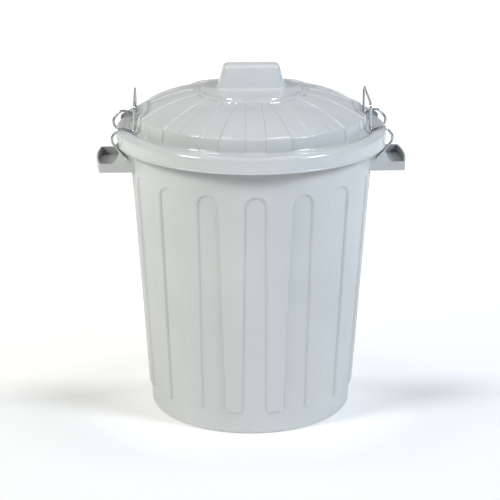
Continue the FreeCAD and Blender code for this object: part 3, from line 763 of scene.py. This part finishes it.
def bentPath(corners, size):
    # the same rounding as for outlines, in space: corners are (point, radius)
    made = [Vector(corners[0][0])]
    for (a, _), (b, radius), (c, _) in zip(corners[:-2], corners[1:-1], corners[2:]):
        a, b, c = Vector(a), Vector(b), Vector(c)
        back, ahead = (a - b).normalized(), (c - b).normalized()
        half = back.angle(ahead) / 2
        cut = radius / math.tan(half)
        middle = b + (back + ahead).normalized() * radius / math.sin(half)
        start, end = b + back * cut - middle, b + ahead * cut - middle
        turn = math.pi - 2 * half
        steps = max(size["leastBends"], int(math.degrees(turn) / size["bendStep"]))
        made += [middle + arcPoint(start, end, turn, k / steps) for k in range(steps + 1)]
    made.append(Vector(corners[-1][0]))
    path = []
    for a, b in zip(made[:-1], made[1:]):
        parts = max(1, int((b - a).length / size["longestRun"]))
        path += [a + (b - a) * (k / parts) for k in range(parts)]
    return path + [made[-1]]


def wireRings(path, size):
    # rings carried along the path without twist, with a dome at each end
    ahead = [(b - a).normalized() for a, b in zip(path[:-1], path[1:])]
    tangents = [ahead[0]] + [(a + b).normalized() for a, b in zip(ahead[:-1], ahead[1:])] + [ahead[-1]]
    across = tangents[0].orthogonal().normalized()
    frames = []
    for k, (point, tangent) in enumerate(zip(path, tangents)):
        if k:
            across = tangents[k - 1].rotation_difference(tangent) @ across
        across = (across - tangent * across.dot(tangent)).normalized()
        frames.append((point, tangent, across.copy(), tangent.cross(across)))
    turns = np.linspace(0, 2 * math.pi, size["sides"], endpoint=False)

    def ring(frameAt, reach, shift):
        point, tangent, u, v = frameAt
        centre = point + tangent * shift
        return [tuple(centre + (u * math.cos(t) + v * math.sin(t)) * reach) for t in turns]

    radius, bulge = size["wire"] / 2, size["endDome"]
    dome = [(radius, radius * bulge)]
    for a in size["domeAngles"]:
        t = math.radians(a)
        dome.append((radius * math.cos(t), radius * (bulge - bulge * math.sin(t))))
    rings = [ring(frames[0], reach, shift) for reach, shift in dome[::-1]]
    rings += [ring(f, radius, 0.0) for f in frames[1:-1]]
    rings += [ring(frames[-1], reach, -shift) for reach, shift in dome]
    return np.array(rings)


def makeClip(size, side, word):
    def spot(key, y):
        return (size[key][0], y, size[key][1])

    bend, y = size["round"], size["armY"]
    half = [(spot("pivot", size["endY"]), 0.0), (spot("pivot", y), bend["end"]),
            (spot("elbow", y), bend["arm"]), (spot("crest", y), bend["arm"]),
            (spot("heel", y), bend["heel"]), (spot("legTop", y), bend["grip"])]
    corners = half + [((p[0], -p[1], p[2]), r) for p, r in half[::-1]]
    path = bentPath(corners, size)
    turned = np.array((side, side, 1.0))      # the left clip is the right one, turned half round
    rings = wireRings(path, size) * turned
    centres = np.array(path[0]) * turned, np.array(path[-1]) * turned
    clip = closedSkin(f"clip_wire_{word}", rings, *centres, size["sharpAngle"])
    return finishPiece(clip, f"clip_{word}", "clip_wire", zincWire, f"clip_{word}")


clips = [makeClip(clipSize, side, word) for side, word in bothSides]
print("clips made:", [len(c.data.polygons) for c in clips], "faces")


# pale floor, soft light and the camera at the photograph's angle

stageLook = {
    "floor": (0.92, 0.92, 0.92), "floorDark": (0.90, 0.90, 0.90), "cloudScale": 1.4, "cloudAt": (0.35, 0.65),
    "size": 30.0, "drop": 0.0002, "rough": 0.9, "specular": 0.1,
    "paintedFloorGlow": ((0.00, 0.06), (0.10, 0.34), (0.50, 0.48), (2.8, 0.80)),     # painted light: the floor glows by itself behind the bin, washing out the bin's shadow there; depth behind the bin, strength
    "ring": ((0.17, 0.22), (0.34, 0.00)),      # painted light: a glow round the bin's foot that lifts its contact shadow and lights the foot; distance from the bin's middle, strength
    "world": (1.0, 1.0, 1.0), "worldStrength": 0.12, "viewTransform": "Standard", "lightSpread": 180.0,
    "lights": {      # shape, place, aim, width, height, watts, colour
        "leftSoftbox": ("ELLIPSE", (-2.60, -1.65, 2.3), (0, 0, 0.40), 1.1, 1.1, 80.0, (1.0, 0.99, 0.91)),
        "rightSoftbox": ("ELLIPSE", (2.57, -1.70, 2.3), (0, 0, 0.40), 1.1, 1.1, 89.0, (0.78, 0.89, 1.0)),
        "overheadLeft": ("ELLIPSE", (-0.7, 0.3, 3.2), (0, 0, 0.40), 0.65, 0.65, 8.0, (1.0, 1.0, 1.0)),
        "overheadRight": ("ELLIPSE", (0.7, 0.3, 3.2), (0, 0, 0.40), 0.65, 0.65, 8.0, (1.0, 1.0, 1.0)),
        "whiteSweep": ("RECTANGLE", (0.0, 3.4, 1.5), (0, 0.0, 1.3), 6.0, 2.6, 18.0, (1.0, 1.0, 1.0)),
    },
}
cameraLook = {
    "focalPixels": 2120.0, "framePixels": 500.0, "sensor": 36.0, "distance": 3.302, "height": 1.340,
    "azimuth": -2.3, "pitch": 18.14, "roll": 0.16, "axisPixel": 250.77, "clip": (0.05, 100.0),
}


def floorMaterial(look):
    material, tree, shader, place = newMaterial("paleFloor")
    link = tree.links.new
    clouds = noiseOver(tree, place, Scale=look["cloudScale"], Detail=3.0)
    tint = rampOver(tree, clouds, look["cloudAt"], (look["floorDark"], look["floor"]))
    link(tint, shader.inputs["Base Color"])
    shader.inputs["Roughness"].default_value = look["rough"]
    shader.inputs["Specular IOR Level"].default_value = look["specular"]
    # the floor's emission is painted light: it glows behind the bin and round its foot, where the bin's
    # shadows would fall
    parts = node(tree, "ShaderNodeSeparateXYZ")
    link(place, parts.inputs[0])
    depths, strengths = zip(*look["paintedFloorGlow"])
    share = node(tree, "ShaderNodeMath", operation="DIVIDE")
    share.inputs[1].default_value = depths[-1]
    link(parts.outputs["Y"], share.inputs[0])
    places = [d / depths[-1] for d in depths]
    glowBehind = rampOver(tree, share.outputs["Value"], places, [grey(s) for s in strengths])
    away = node(tree, "ShaderNodeVectorMath", operation="LENGTH")
    link(place, away.inputs[0])
    distances, strengths = zip(*look["ring"])
    glowRound = rampOver(tree, away.outputs["Value"], distances, [grey(s) for s in strengths])
    link(mixed(tree, "LIGHTEN", glowBehind, glowRound), shader.inputs["Emission Color"])
    shader.inputs["Emission Strength"].default_value = 1.0
    return material


def makeStage(look):
    mesh = bpy.data.meshes.new("floor")
    far = look["size"]
    mesh.from_pydata([(-far, -far, 0), (far, -far, 0), (far, far, 0), (-far, far, 0)], [], [(0, 1, 2, 3)])
    floor = bpy.data.objects.new("floor", mesh)
    bpy.context.scene.collection.objects.link(floor)
    floor.location.z = -look["drop"]
    floor.data.materials.append(floorMaterial(look))
    world = bpy.data.worlds.new("studio")
    bpy.context.scene.world = world
    world.use_nodes = True
    world.node_tree.nodes["Background"].inputs["Color"].default_value = (*look["world"], 1)
    world.node_tree.nodes["Background"].inputs["Strength"].default_value = look["worldStrength"]
    bpy.context.scene.view_settings.view_transform = look["viewTransform"]
    for name, (shape, place, aim, wide, high, watts, colour) in look["lights"].items():
        lamp = bpy.data.lights.new(name, "AREA")
        lamp.shape, lamp.size, lamp.size_y = shape, wide, high
        lamp.energy, lamp.color, lamp.spread = watts, colour, math.radians(look["lightSpread"])
        light = bpy.data.objects.new(name, lamp)
        bpy.context.scene.collection.objects.link(light)
        light.location = place
        light.visible_camera = False
        light.rotation_euler = (Vector(aim) - Vector(place)).to_track_quat("-Z", "Y").to_euler()


def makeCamera(look):
    lens = bpy.data.cameras.new("photoCamera")
    lens.sensor_width = look["sensor"]
    lens.lens = look["focalPixels"] / look["framePixels"] * look["sensor"]
    lens.shift_x = -(look["axisPixel"] - look["framePixels"] / 2) / look["framePixels"]
    lens.clip_start, lens.clip_end = look["clip"]
    camera = bpy.data.objects.new("photoCamera", lens)
    bpy.context.scene.collection.objects.link(camera)
    turn, tip, away = math.radians(look["azimuth"]), math.radians(look["pitch"]), look["distance"]
    camera.location = (away * math.sin(turn), -away * math.cos(turn), look["height"])
    level = Matrix.Rotation(turn, 4, "Z") @ Matrix.Rotation(math.pi / 2 - tip, 4, "X")
    camera.rotation_euler = (level @ Matrix.Rotation(math.radians(look["roll"]), 4, "Z")).to_euler()
    bpy.context.scene.camera = camera


makeStage(stageLook)
makeCamera(cameraLook)
print("stage, lights and camera made")
